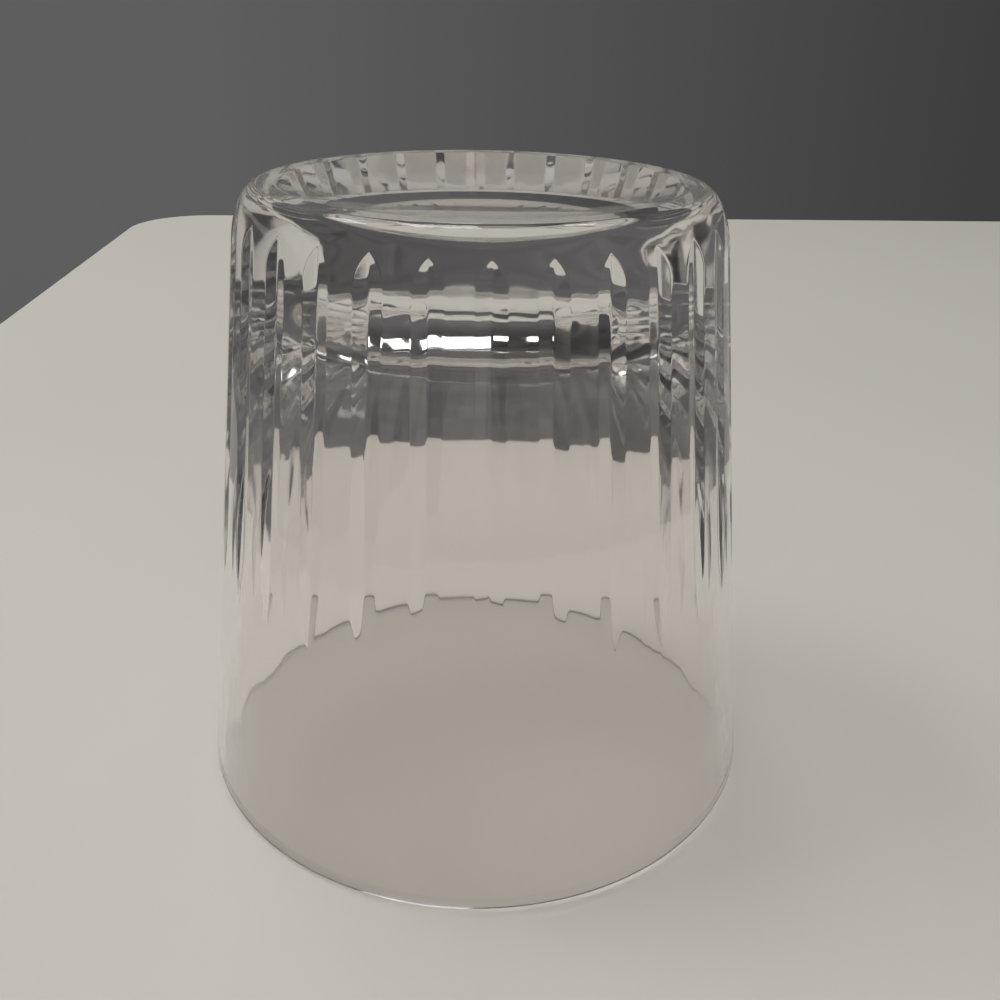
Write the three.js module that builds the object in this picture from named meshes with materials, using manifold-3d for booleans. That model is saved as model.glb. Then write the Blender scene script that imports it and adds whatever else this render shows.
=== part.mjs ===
// Rocks glass: one thick-based tumbler of clear pressed glass, its wall cut with thirty V-shaped flutes.
// It stands upside down on its rim. Millimetres, +Z up, origin in the rim's plane on the glass's axis.

import * as THREE from 'three';
import { mergeVertices } from 'three/addons/utils/BufferGeometryUtils.js';
import Module from 'manifold-3d';

// Overall form
const rimRadius = 43;
const height = 88.4;
const wallTaper = THREE.MathUtils.degToRad(6.8);
const rimRounding = 1.2;

// Heel: a quarter of an ellipse between the wall and the underside
const heelWidth = 4.1;
const heelHeight = 10;

// Underside: a shallow dish with a rounded lip, inside the flat ring that the upright glass rests on
const restingRingWidth = 2;
const dishDepth = 2.9;
const dishLipRadius = 4.3;

// Cavity: a leaning wall that bends over a wide shoulder, a tighter corner and an edge into a flat dome
const cavityTaper = THREE.MathUtils.degToRad(8.5);
const baseThickness = 12.2;
const shoulderRadius = 46;
const shoulderBend = THREE.MathUtils.degToRad(28.8);
const cornerRadius = 17.4;
const cornerBend = THREE.MathUtils.degToRad(37.1);
const floorEdgeRadius = 32.2;
const floorEdgeBend = THREE.MathUtils.degToRad(10.7);

// Flutes: each is a shallow V that runs out to a point above the rim and runs off over the heel
const fluteCount = 30;
const fluteFacetSlope = THREE.MathUtils.degToRad(12);
const fluteRimTip = 34.9;
const fluteRimDepth = 0.36;
const fluteHeelDepth = 0.38;
const rimRunOut = 10;

// Fineness of the round faces
const turnSteps = 90;
const facetTurn = THREE.MathUtils.degToRad(12);
const fluteSteps = 18;

// The section of the wall: the wall's outside leans in by wallTaper towards the base, its inside by
// cavityTaper, so the wall grows thicker from the rim to the shoulder of the cavity.
const upright = Math.PI / 2;
const outward = new THREE.Vector2(Math.cos(wallTaper), Math.sin(wallTaper));
const intoWall = new THREE.Vector2(Math.cos(cavityTaper), Math.sin(cavityTaper));
const rimCentre = new THREE.Vector2(rimRadius - rimRounding, rimRounding);
const outsideReach = outward.dot(rimCentre) + rimRounding;
const insideReach = intoWall.dot(rimCentre) - rimRounding;

// Radius, at a height, of the line that lies at a given reach along a wall's normal
function radiusOnWall(normal, reach, z) {
  return (reach - normal.y * z) / normal.x;
}

// Points round part of an ellipse, from one direction to another
function arcPoints(centre, halfWidth, halfHeight, from, to) {
  const clockwise = to < from;
  const steps = Math.max(2, Math.ceil(Math.abs(to - from) / facetTurn));
  const curve = new THREE.EllipseCurve(centre.x, centre.y, halfWidth, halfHeight, from, to, clockwise);
  return curve.getPoints(steps);
}

// Floor of the cavity, from its middle over the dome and three bends to the inner wall. The bends are set out
// from the rim's level, each tangent to the last, and then moved up the wall to leave the base its thickness.
function floorSection() {
  const bends = [
    { radius: shoulderRadius, angle: shoulderBend },
    { radius: cornerRadius, angle: cornerBend },
    { radius: floorEdgeRadius, angle: floorEdgeBend },
  ];
  const point = new THREE.Vector2(radiusOnWall(intoWall, insideReach, 0), 0);
  let direction = cavityTaper;
  let normal = intoWall;
  for (const bend of bends) {
    bend.centre = point.clone().addScaledVector(normal, -bend.radius);
    bend.from = direction;
    direction += bend.angle;
    bend.to = direction;
    normal = new THREE.Vector2(Math.cos(direction), Math.sin(direction));
    point.copy(bend.centre).addScaledVector(normal, bend.radius);
  }
  const floorLevel = height - baseThickness;
  const domeRise = (1 - normal.y) / normal.x;
  const lean = intoWall.y / intoWall.x;
  const climb = (floorLevel - point.y - point.x * domeRise) / (1 - lean * domeRise);
  const upWall = new THREE.Vector2(-lean * climb, climb);
  const domeRadius = point.add(upWall).x / normal.x;
  const dome = new THREE.Vector2(0, floorLevel - domeRadius);
  const section = arcPoints(dome, domeRadius, domeRadius, upright, direction);
  for (const bend of bends.reverse()) {
    bend.centre.add(upWall);
    section.push(...arcPoints(bend.centre, bend.radius, bend.radius, bend.to, bend.from).slice(1));
  }
  return section;
}

// Heel and underside, from the wall over the resting ring and the dish's lip to the middle of the dish
function undersideSection() {
  const heelLevel = height - heelHeight;
  const heelReach = Math.hypot(heelWidth * outward.x, heelHeight * outward.y);
  const heelRadius = radiusOnWall(outward, outsideReach - heelReach, heelLevel);
  const heelStart = Math.atan2(heelHeight * outward.y, heelWidth * outward.x);
  const heel = new THREE.Vector2(heelRadius, heelLevel);
  const dishRadius = heelRadius - restingRingWidth;
  const dishSlope = 2 * Math.atan2(dishDepth, dishRadius);
  const dishSphere = dishRadius / Math.sin(dishSlope) - dishLipRadius;
  const lip = new THREE.Vector2(dishRadius, height - dishLipRadius);
  const dish = new THREE.Vector2(0, height - dishDepth + dishSphere);
  return [
    ...arcPoints(heel, heelWidth, heelHeight, heelStart, upright),
    ...arcPoints(lip, dishLipRadius, dishLipRadius, upright, upright + dishSlope),
    ...arcPoints(dish, dishSphere, dishSphere, dishSlope - upright, -upright).slice(1),
  ];
}

// Half section, from the middle of the cavity's floor round the rim to the middle of the underside
function glassSection() {
  const rim = arcPoints(rimCentre, rimRounding, rimRounding, cavityTaper - Math.PI, wallTaper);
  return [...floorSection(), ...rim, ...undersideSection()];
}

// Depth of a flute's bottom below the wall's line at a height, less and less along the run-out to its tip
function fluteDepth(z) {
  const along = (z - fluteRimTip) / (height - fluteRimTip);
  const fullDepth = THREE.MathUtils.lerp(fluteRimDepth, fluteHeelDepth, along);
  const rimRise = Math.max(0, fluteRimTip + rimRunOut - z) / rimRunOut;
  return fullDepth * (1 - rimRise ** 2);
}

// The line that the point of the cutting wheel follows up the wall's front, -Y, until it is clear of the heel
class FluteValley extends THREE.Curve {
  getPoint(t, target = new THREE.Vector3()) {
    const leadIn = rimRunOut / 3;
    const z = THREE.MathUtils.lerp(fluteRimTip - leadIn, height, t);
    const radius = radiusOnWall(outward, outsideReach, z) - fluteDepth(z);
    return target.set(0, -radius, z);
  }
}

// The V section of the wheel, swept along the valley
function fluteCutter() {
  const clearOfWall = 0.6;
  const sectionDepth = Math.max(fluteRimDepth, fluteHeelDepth) + clearOfWall;
  const halfWidth = sectionDepth / Math.tan(fluteFacetSlope);
  const vee = new THREE.Shape();
  vee.moveTo(0, 0);
  vee.lineTo(halfWidth, sectionDepth);
  vee.lineTo(-halfWidth, sectionDepth);
  vee.closePath();
  return new THREE.ExtrudeGeometry(vee, { steps: fluteSteps, extrudePath: new FluteValley() });
}

const wasm = await Module();
wasm.setup();

function toSolid(geometry) {
  const bare = geometry.clone();
  bare.deleteAttribute('normal');
  bare.deleteAttribute('uv');
  const merged = mergeVertices(bare);
  const vertProperties = new Float32Array(merged.attributes.position.array);
  const triVerts = new Uint32Array(merged.index.array);
  return new wasm.Manifold(new wasm.Mesh({ numProp: 3, vertProperties, triVerts }));
}

function toGeometry(solid) {
  const mesh = solid.getMesh();
  const geometry = new THREE.BufferGeometry();
  geometry.setAttribute('position', new THREE.BufferAttribute(mesh.vertProperties, mesh.numProp));
  geometry.setIndex(new THREE.BufferAttribute(mesh.triVerts, 1));
  geometry.computeVertexNormals();
  return geometry;
}

// The pressed form, turned about the upright axis
function blank() {
  const turned = new THREE.LatheGeometry(glassSection(), turnSteps);
  turned.rotateX(Math.PI / 2);
  return toSolid(turned);
}

// The blank with its flutes cut, evenly round the wall
function tumbler() {
  const cutter = fluteCutter();
  const flutePitch = (2 * Math.PI) / fluteCount;
  let glass = blank();
  for (let flute = 0; flute < fluteCount; flute += 1) {
    const placed = cutter.clone().rotateZ(flute * flutePitch);
    glass = glass.subtract(toSolid(placed));
  }
  const clearGlass = new THREE.MeshStandardMaterial({
    color: 0xe6e6e2,
    roughness: 0.03,
    metalness: 0,
    transparent: true,
    opacity: 0.35,
  });
  const mesh = new THREE.Mesh(toGeometry(glass), clearGlass);
  mesh.name = 'tumbler';
  return mesh;
}

const rocksGlass = new THREE.Group();
rocksGlass.name = 'rocks_glass';
rocksGlass.add(tumbler());

export default rocksGlass;
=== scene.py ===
import math

import bpy
from mathutils import Matrix, Vector


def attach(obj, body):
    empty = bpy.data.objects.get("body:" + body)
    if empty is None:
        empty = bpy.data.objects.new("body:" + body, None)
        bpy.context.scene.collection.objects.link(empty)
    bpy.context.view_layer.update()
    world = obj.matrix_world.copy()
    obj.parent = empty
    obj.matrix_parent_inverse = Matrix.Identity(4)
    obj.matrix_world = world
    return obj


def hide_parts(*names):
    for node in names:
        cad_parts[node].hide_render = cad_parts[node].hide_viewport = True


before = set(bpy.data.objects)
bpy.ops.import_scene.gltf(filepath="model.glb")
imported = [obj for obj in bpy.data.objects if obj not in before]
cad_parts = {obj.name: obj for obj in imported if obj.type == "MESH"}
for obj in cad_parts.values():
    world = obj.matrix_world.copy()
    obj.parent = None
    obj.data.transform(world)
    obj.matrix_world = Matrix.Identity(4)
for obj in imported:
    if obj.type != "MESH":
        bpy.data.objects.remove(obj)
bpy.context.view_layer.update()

# Tumbler: the whole glass, one body of clear soda glass pressed between a mould and a plunger.
# Thirty shallow V flutes are then cut into its wall with a wheel, and its rim is melted round.
# It stands upside down on that rim, and nothing is fixed to it.

millimetre = 0.001
rim_radius = 43.0
glass_height = 88.4
wall_lean = math.radians(6.8)
rim_rounding = 1.2

heel_width = 4.1
heel_height = 10.0
resting_ring_width = 2.0
dish_depth = 2.9
dish_lip_radius = 4.3

cavity_lean = math.radians(8.5)
base_thickness = 12.2
shoulder_radius = 46.0
shoulder_bend = math.radians(28.8)
corner_radius = 17.4
corner_bend = math.radians(37.1)
floor_edge_radius = 32.2
floor_edge_bend = math.radians(10.7)

flute_count = 30
flute_facet_slope = math.radians(14)
flute_rim_tip = 34.9
flute_rim_depth = 0.42
flute_heel_depth = 0.46
rim_run_out = 10.0
flute_edge_rounding = 0.10
narrowest_flute = 0.25

arc_steps = 24
heel_steps = 40
crisp_edge = 0.05

outward = Vector((math.cos(wall_lean), math.sin(wall_lean)))
into_wall = Vector((math.cos(cavity_lean), math.sin(cavity_lean)))
rim_centre = Vector((rim_radius - rim_rounding, rim_rounding))
outside_reach = outward.dot(rim_centre) + rim_rounding
inside_reach = into_wall.dot(rim_centre) - rim_rounding
quarter_turn = math.pi / 2


def radius_on_wall(normal, reach, level):
    """Radius of a leaning wall at a height, from its normal and its distance from the origin."""
    return (reach - normal.y * level) / normal.x


def bend(section, heading, radius, angle):
    """Carries a section on round an arc, to the left for a positive angle, and returns the new heading."""
    side = math.copysign(radius, angle)
    middle = Vector(section[-1]) + side * Vector((-math.sin(heading), math.cos(heading)))
    for step in range(1, arc_steps + 1):
        turned = heading + angle * step / arc_steps
        point = middle + side * Vector((math.sin(turned), -math.cos(turned)))
        section.append((point.x, point.y))
    return heading + angle


def straight(section, end, inner_steps):
    """Carries a section on to a point, with a close ring at each end so that the shading stays crisp."""
    start = Vector(section[-1])
    run = Vector(end) - start
    close = crisp_edge / run.length
    between = [step / (inner_steps + 1) for step in range(1, inner_steps + 1)]
    for stop in [close] + between + [1 - close, 1]:
        point = start + run * stop
        section.append((point.x, point.y))


def underside_section(heel_radius):
    """The dished underside, from its middle over the lip to the flat ring round it."""
    dish_radius = heel_radius - resting_ring_width
    dish_angle = 2 * math.atan2(dish_depth, dish_radius)
    dish_sphere = dish_radius / math.sin(dish_angle) - dish_lip_radius
    section = [(0.0, glass_height - dish_depth)]
    heading = bend(section, 0.0, dish_sphere, dish_angle)
    bend(section, heading, dish_lip_radius, -dish_angle)
    straight(section, (heel_radius, glass_height), inner_steps=3)
    return section


def heel_section():
    """The heel, a quarter of an ellipse between the underside and the wall."""
    level = glass_height - heel_height
    lean_reach = math.hypot(heel_width * math.cos(wall_lean), heel_height * math.sin(wall_lean))
    heel_radius = radius_on_wall(outward, outside_reach - lean_reach, level)
    foot = math.atan2(heel_height * math.sin(wall_lean), heel_width * math.cos(wall_lean))
    section = []
    for step in range(heel_steps + 1):
        turn = quarter_turn + (foot - quarter_turn) * step / heel_steps
        section.append((heel_radius + heel_width * math.cos(turn), level + heel_height * math.sin(turn)))
    return section


def cavity_section():
    """The inner wall and the bowl-shaped floor of the cavity, from the rim to the axis."""
    heading = quarter_turn + cavity_lean
    dome_bend = math.pi - heading - shoulder_bend - corner_bend - floor_edge_bend
    rise = [(0.0, 0.0)]
    turned = bend(rise, heading, shoulder_radius, shoulder_bend)
    turned = bend(rise, turned, corner_radius, corner_bend)
    bend(rise, turned, floor_edge_radius, floor_edge_bend)
    dome_share = math.tan(dome_bend / 2)
    lean_share = into_wall.y / into_wall.x
    floor_level = glass_height - base_thickness
    mouth_radius = radius_on_wall(into_wall, inside_reach, 0.0)
    bend_level = floor_level - rise[-1][1] - (mouth_radius + rise[-1][0]) * dome_share
    bend_level /= 1 - lean_share * dome_share
    rim_end = rim_centre - rim_rounding * into_wall
    section = [(rim_end.x, rim_end.y)]
    bend_foot = (radius_on_wall(into_wall, inside_reach, bend_level), bend_level)
    straight(section, bend_foot, inner_steps=8)
    heading = bend(section, heading, shoulder_radius, shoulder_bend)
    heading = bend(section, heading, corner_radius, corner_bend)
    heading = bend(section, heading, floor_edge_radius, floor_edge_bend)
    bend(section, heading, section[-1][0] / math.sin(dome_bend), dome_bend)
    section[-1] = (0.0, floor_level)
    return section


def flute_depth(level):
    """How deep the middle of a flute lies below the wall at a height."""
    along = (level - flute_rim_tip) / (glass_height - flute_rim_tip)
    full = flute_rim_depth + (flute_heel_depth - flute_rim_depth) * along
    rim_rise = max(0.0, flute_rim_tip + rim_run_out - level) / rim_run_out
    return full * (1 - rim_rise ** 2)


def flute_cut(depth, across):
    """How far the wheel has cut into the wall at a distance across from a flute's middle."""
    from_middle = math.hypot(across, flute_edge_rounding) - flute_edge_rounding / 2
    cut = depth - from_middle * math.tan(flute_facet_slope)
    return (cut + math.hypot(cut, flute_edge_rounding * math.tan(flute_facet_slope))) / 2


heel = heel_section()
wall_top = heel[-1][1]
wall_foot = rim_centre + rim_rounding * outward
fine_step = 0.4
coarse_step = 2.0
run_out_end = flute_rim_tip + rim_run_out
wall_levels = [wall_top - crisp_edge]
while wall_levels[-1] > wall_foot.y + coarse_step:
    near_tip = flute_rim_tip - coarse_step < wall_levels[-1] < run_out_end + coarse_step
    wall_levels.append(wall_levels[-1] - (fine_step if near_tip else coarse_step))
wall_levels.append(wall_foot.y + crisp_edge)
outside = heel + [(radius_on_wall(outward, outside_reach, level), level) for level in wall_levels]
rim = [(wall_foot.x, wall_foot.y)]
bend(rim, wall_lean - quarter_turn, rim_rounding, cavity_lean - wall_lean - math.pi)
underside = underside_section(heel[0][0])
section = underside[:-1] + outside + rim + cavity_section()[1:]
fluted = range(len(underside) - 1, len(underside) - 1 + len(outside))

# Columns of vertices across half a flute, and across half the panel beside it, as shares of its width
flute_shares = (0.0, 0.06, 0.15, 0.35, 0.65, 0.88, 0.97)
panel_shares = (0.0, 0.04, 0.12, 0.4)
plain_half_width = 1.7
widest_share = 0.8


def ring_offsets(radius, half_width):
    """Distances across from a flute's middle to each column of vertices, for one pitch of the ring."""
    half_pitch = math.pi * radius / flute_count
    half_width = min(half_width, widest_share * half_pitch)
    panel = half_pitch - half_width
    side = [share * half_width for share in flute_shares]
    side += [half_width + share * panel for share in panel_shares]
    return [-offset for offset in side[:0:-1]] + side + [half_pitch]


vertices = []
rings = []
for place, (radius, level) in enumerate(section):
    first = len(vertices)
    if place in (0, len(section) - 1):
        vertices.append((0.0, 0.0, level * millimetre))
        rings.append([first])
        continue
    half_width = plain_half_width * radius / rim_radius
    if place in fluted:
        heel_drop = radius_on_wall(outward, outside_reach, level) - radius
        depth = flute_depth(level) - heel_drop
        half_width = max(depth / math.tan(flute_facet_slope), narrowest_flute)
    for flute in range(flute_count):
        for offset in ring_offsets(radius, half_width):
            turn = 2 * math.pi * flute / flute_count + offset / radius
            reach = radius
            if place in fluted:
                reach -= flute_cut(depth, offset)
            point = Vector((reach * math.sin(turn), -reach * math.cos(turn), level))
            vertices.append(tuple(point * millimetre))
    rings.append(list(range(first, len(vertices))))

faces = []
for ring, following in zip(rings[:-1], rings[1:]):
    columns = max(len(ring), len(following))
    for column in range(columns):
        beside = (column + 1) % columns
        if len(ring) == 1:
            faces.append((ring[0], following[column], following[beside]))
        elif len(following) == 1:
            faces.append((ring[column], following[0], ring[beside]))
        else:
            faces.append((ring[column], following[column], following[beside], ring[beside]))

tumbler_mesh = bpy.data.meshes.new("cut_tumbler")
tumbler_mesh.from_pydata(vertices, [], faces)
tumbler_mesh.shade_smooth()
tumbler = bpy.data.objects.new("cut_tumbler", tumbler_mesh)
bpy.context.scene.collection.objects.link(tumbler)

clean_tint = (1.0, 0.982, 0.972, 1)
smudged_tint = (0.985, 0.967, 0.957, 1)
clean_roughness = 0.045
smudged_roughness = 0.09

clear_glass = bpy.data.materials.new("clear_glass")
clear_glass.use_nodes = True
nodes = clear_glass.node_tree.nodes
links = clear_glass.node_tree.links
glass = nodes["Principled BSDF"]
glass.inputs["Transmission Weight"].default_value = 1.0
glass.inputs["IOR"].default_value = 1.51

place_on_glass = nodes.new("ShaderNodeTexCoord")
ripple = nodes.new("ShaderNodeTexNoise")
ripple.inputs["Scale"].default_value = 130.0
ripple.inputs["Detail"].default_value = 1.0
links.new(place_on_glass.outputs["Object"], ripple.inputs["Vector"])
mould_ripple = nodes.new("ShaderNodeBump")
mould_ripple.inputs["Strength"].default_value = 0.05
mould_ripple.inputs["Distance"].default_value = 0.0006
links.new(ripple.outputs["Fac"], mould_ripple.inputs["Height"])
links.new(mould_ripple.outputs["Normal"], glass.inputs["Normal"])

smudges = nodes.new("ShaderNodeTexNoise")
smudges.inputs["Scale"].default_value = 45.0
smudges.inputs["Detail"].default_value = 6.0
links.new(place_on_glass.outputs["Object"], smudges.inputs["Vector"])
smudge_gloss = nodes.new("ShaderNodeMapRange")
smudge_gloss.inputs["From Min"].default_value = 0.55
smudge_gloss.inputs["From Max"].default_value = 0.80
smudge_gloss.inputs["To Min"].default_value = clean_roughness
smudge_gloss.inputs["To Max"].default_value = smudged_roughness
links.new(smudges.outputs["Fac"], smudge_gloss.inputs["Value"])
links.new(smudge_gloss.outputs["Result"], glass.inputs["Roughness"])

tint = nodes.new("ShaderNodeMix")
tint.data_type = "RGBA"
tint.inputs["A"].default_value = clean_tint
tint.inputs["B"].default_value = smudged_tint
links.new(smudges.outputs["Fac"], tint.inputs["Factor"])
links.new(tint.outputs["Result"], glass.inputs["Base Color"])
tumbler_mesh.materials.append(clear_glass)

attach(tumbler, "root")
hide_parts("tumbler")

# Floor: a plain pale board with rounded corners that the glass stands on.
# It ends a forearm's length behind the glass, so the glass shows its far edge and the grey beyond.

floor_left = -0.167
floor_right = 0.42
floor_front = -0.70
floor_back = 0.441
floor_corner = 0.035
floor_corner_steps = 12

floor_outline = []
for middle_x, middle_y, start in (
    (floor_right - floor_corner, floor_back - floor_corner, 0.0),
    (floor_left + floor_corner, floor_back - floor_corner, quarter_turn),
    (floor_left + floor_corner, floor_front + floor_corner, 2 * quarter_turn),
    (floor_right - floor_corner, floor_front + floor_corner, 3 * quarter_turn),
):
    for step in range(floor_corner_steps + 1):
        turn = start + quarter_turn * step / floor_corner_steps
        corner = (middle_x + floor_corner * math.cos(turn), middle_y + floor_corner * math.sin(turn), 0.0)
        floor_outline.append(corner)
floor_mesh = bpy.data.meshes.new("pale_floor")
floor_mesh.from_pydata(floor_outline, [], [tuple(range(len(floor_outline)))])
pale_floor = bpy.data.objects.new("pale_floor", floor_mesh)
bpy.context.scene.collection.objects.link(pale_floor)

warm_white = (0.55, 0.53, 0.482, 1)
paler_white = (0.58, 0.56, 0.515, 1)

floor_paint = bpy.data.materials.new("floor_paint")
floor_paint.use_nodes = True
nodes = floor_paint.node_tree.nodes
links = floor_paint.node_tree.links
paint = nodes["Principled BSDF"]
paint.inputs["Roughness"].default_value = 0.55
paint.inputs["Specular IOR Level"].default_value = 0.2
paint_mottle = nodes.new("ShaderNodeTexNoise")
paint_mottle.inputs["Scale"].default_value = 9.0
paint_mottle.inputs["Detail"].default_value = 3.0
paint_place = nodes.new("ShaderNodeTexCoord")
links.new(paint_place.outputs["Object"], paint_mottle.inputs["Vector"])
paint_colour = nodes.new("ShaderNodeMix")
paint_colour.data_type = "RGBA"
paint_colour.inputs["A"].default_value = warm_white
paint_colour.inputs["B"].default_value = paler_white
links.new(paint_mottle.outputs["Fac"], paint_colour.inputs["Factor"])
links.new(paint_colour.outputs["Result"], paint.inputs["Base Color"])
floor_mesh.materials.append(floor_paint)

# Surroundings: a plain studio of grey paper walls, lighter on the left, dark in front and high up.
# Clear glass has no colour of its own, so it is these greys that draw its shape.
# The floor is lit by an even white dome instead, a little stronger from the left.

# Each grey band's place, from -1 straight down to 1 straight up, and its grey
wall_greys = (
    (-1.00, 0.080),
    (-0.20, 0.107),
    (0.25, 0.107),
    (0.47, 0.110),
    (0.70, 0.070),
    (0.88, 0.045),
    (0.97, 0.080),
    (1.00, 0.150),
)
wall_green = 0.98
wall_left_end = -0.20
wall_right_end = 0.45
wall_left = 1.06
wall_right = 0.46
wall_front_end = -0.50
wall_front = 0.40
dome_white = (1.0, 0.985, 0.96, 1)
dome_left = 0.65
dome_right = 0.44
before_first_spread = 0.5

studio = bpy.data.worlds.new("grey_studio")
studio.use_nodes = True
bpy.context.scene.world = studio
nodes = studio.node_tree.nodes
links = studio.node_tree.links
direction = nodes.new("ShaderNodeTexCoord")
split = nodes.new("ShaderNodeSeparateXYZ")
links.new(direction.outputs["Generated"], split.inputs["Vector"])


def slide(value, low, high, at_low, at_high):
    """A number that goes evenly from at_low to at_high as the value goes from low to high."""
    change = nodes.new("ShaderNodeMapRange")
    change.inputs["From Min"].default_value = low
    change.inputs["From Max"].default_value = high
    change.inputs["To Min"].default_value = at_low
    change.inputs["To Max"].default_value = at_high
    links.new(value, change.inputs["Value"])
    return change.outputs["Result"]


def combine(operation, first, second):
    """Joins two numbers by one step of arithmetic; the second may be a plain number."""
    reckoning = nodes.new("ShaderNodeMath")
    reckoning.operation = operation
    links.new(first, reckoning.inputs[0])
    if isinstance(second, float):
        reckoning.inputs[1].default_value = second
    else:
        links.new(second, reckoning.inputs[1])
    return reckoning.outputs["Value"]


wall_tone = nodes.new("ShaderNodeValToRGB")
tone_steps = wall_tone.color_ramp.elements
tone_steps.remove(tone_steps[1])
for place, (up, grey) in enumerate(wall_greys):
    tone_step = tone_steps[0] if place == 0 else tone_steps.new((up + 1) / 2)
    tone_step.color = (grey, grey * wall_green, grey, 1)
links.new(slide(split.outputs["Z"], -1.0, 1.0, 0.0, 1.0), wall_tone.inputs["Fac"])
walls = nodes.new("ShaderNodeBackground")
links.new(wall_tone.outputs["Color"], walls.inputs["Color"])
wall_strength = slide(split.outputs["X"], wall_left_end, wall_right_end, wall_left, wall_right)
front_share = slide(split.outputs["Y"], wall_front_end, 0.0, wall_front, 1.0)
links.new(combine("MULTIPLY", wall_strength, front_share), walls.inputs["Strength"])
dome = nodes["Background"]
dome.inputs["Color"].default_value = dome_white
links.new(slide(split.outputs["X"], -1.0, 1.0, dome_left, dome_right), dome.inputs["Strength"])

ray = nodes.new("ShaderNodeLightPath")
through_glass = combine("MAXIMUM", ray.outputs["Is Glossy Ray"], ray.outputs["Is Transmission Ray"])
in_view = combine("MAXIMUM", ray.outputs["Is Camera Ray"], through_glass)
not_yet_spread = combine("LESS_THAN", ray.outputs["Diffuse Depth"], before_first_spread)
studio_light = nodes.new("ShaderNodeMixShader")
links.new(combine("MULTIPLY", in_view, not_yet_spread), studio_light.inputs["Fac"])
links.new(dome.outputs["Background"], studio_light.inputs[1])
links.new(walls.outputs["Background"], studio_light.inputs[2])
links.new(studio_light.outputs["Shader"], nodes["World Output"].inputs["Surface"])

# Lamps: flat ceiling panels. Two soft ones, which don't show in the glass, cast its faint shadow.
# Three small bright ones behind it show as white patches where its faces mirror the ceiling.


def hang_panel(name, place, width, length, power):
    """Hangs a flat rectangular light that faces straight down."""
    panel = bpy.data.lights.new(name, "AREA")
    panel.shape = "RECTANGLE"
    panel.size = width
    panel.size_y = length
    panel.energy = power
    lamp = bpy.data.objects.new(name, panel)
    lamp.location = place
    bpy.context.scene.collection.objects.link(lamp)
    return lamp


left_panel = hang_panel("left_panel", place=(-0.66, 0.12, 1.00), width=0.45, length=0.45, power=3.2)
front_panel = hang_panel("front_panel", place=(-0.05, -0.45, 0.55), width=0.40, length=0.40, power=0.8)
for soft_panel in (left_panel, front_panel):
    soft_panel.visible_glossy = False
    soft_panel.visible_transmission = False

hang_panel("rear_panel", place=(-0.15, 0.37, 1.15), width=0.30, length=0.44, power=1.7)
hang_panel("side_panel", place=(-0.66, 0.42, 1.15), width=0.20, length=0.40, power=0.9)
hang_panel("right_panel", place=(0.40, 0.56, 1.15), width=0.13, length=0.20, power=0.4)

# Camera: at the photograph's height and angle, a hand's breadth in front of the glass.
# Its pitch, yaw and roll are in radians, and its lens is given in pixels of the square picture.

camera_place = Vector((-4.97, -143.47, 110.57)) * millimetre
camera_pitch = 0.453
camera_yaw = 0.057
camera_roll = 0.019
focal_pixels = 1035.35
picture_width = 1000

view = bpy.data.cameras.new("photo_view")
view.sensor_width = 36.0
view.lens = focal_pixels * view.sensor_width / picture_width
view.clip_start = 0.005
camera = bpy.data.objects.new("photo_view", view)
bpy.context.scene.collection.objects.link(camera)
bpy.context.scene.camera = camera
level_right = Vector((math.cos(camera_yaw), -math.sin(camera_yaw), 0.0))
ahead = Vector((math.sin(camera_yaw), math.cos(camera_yaw), 0.0)) * math.cos(camera_pitch)
ahead.z = -math.sin(camera_pitch)
level_up = level_right.cross(ahead)
right = math.cos(camera_roll) * level_right + math.sin(camera_roll) * level_up
upward = math.cos(camera_roll) * level_up - math.sin(camera_roll) * level_right
facing = Matrix((right, upward, -ahead)).transposed().to_4x4()
camera.matrix_world = Matrix.Translation(camera_place) @ facing

# Light passes many faces of cut glass before it is spent, so it is followed for longer than usual.
glass_bounces = 24
bpy.context.scene.cycles.max_bounces = glass_bounces
bpy.context.scene.cycles.transmission_bounces = glass_bounces
bpy.context.scene.cycles.glossy_bounces = glass_bounces
bpy.context.scene.cycles.blur_glossy = 0.0
bpy.context.scene.view_settings.view_transform = "Standard"
